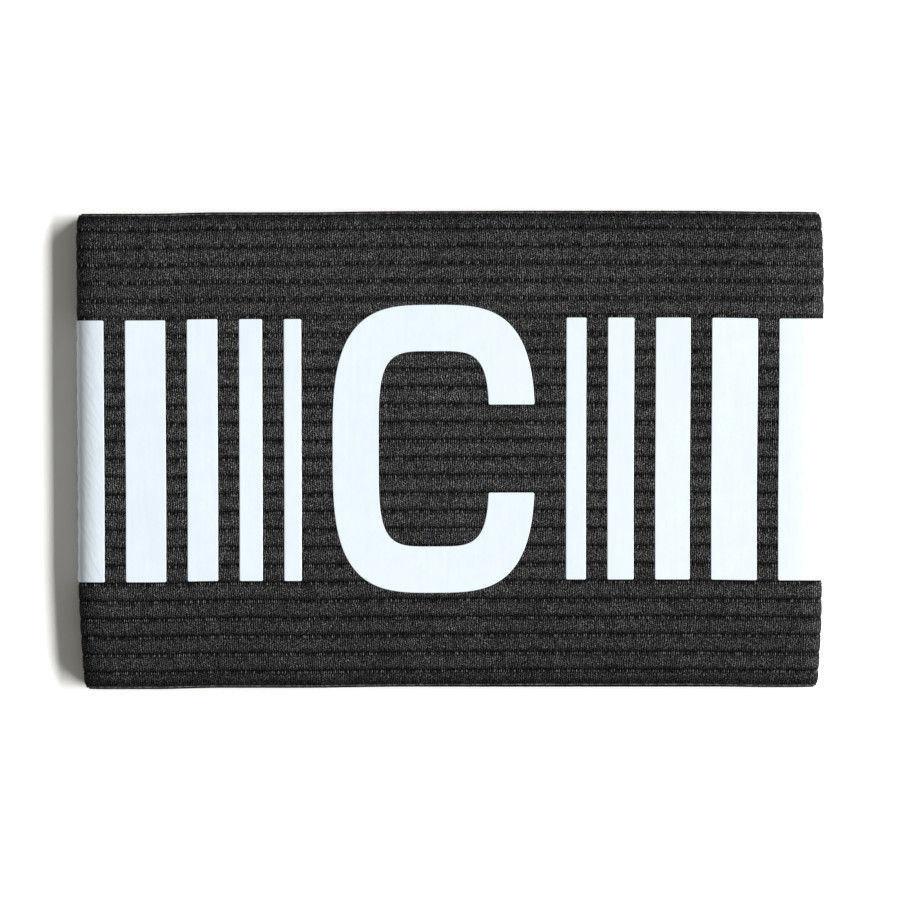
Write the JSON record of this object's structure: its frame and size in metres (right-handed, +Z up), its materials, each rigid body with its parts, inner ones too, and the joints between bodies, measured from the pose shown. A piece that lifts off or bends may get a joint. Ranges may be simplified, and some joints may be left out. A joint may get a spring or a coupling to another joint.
{
  "type": "captain armband",
  "caption": "Captain's armband: a wide loop of charcoal ribbed elastic lying flat, with a white printed letter C and upright bars round it.",
  "frame": {"origin": "on the table, under the middle of the loop", "axes": "+X along the ribs from the left fold to the right fold, +Y across the band towards the top of the letter, +Z up off the table"},
  "size_m": [0.1269, 0.0805, 0.0074],
  "materials": {
    "elastic": "matte rib knit, charcoal black",
    "film": "satin white heat-bonded film"
  },
  "bodies": {
    "root": {"ribbed_band": "elastic", "letter_c": "film", "bar_left_1": "film", "bar_left_2": "film", "bar_left_3": "film", "bar_left_4": "film", "bar_left_5": "film", "bar_right_1": "film", "bar_right_2": "film", "bar_right_3": "film", "bar_right_4": "film", "bar_right_5": "film"}
  },
  "joints": []
}
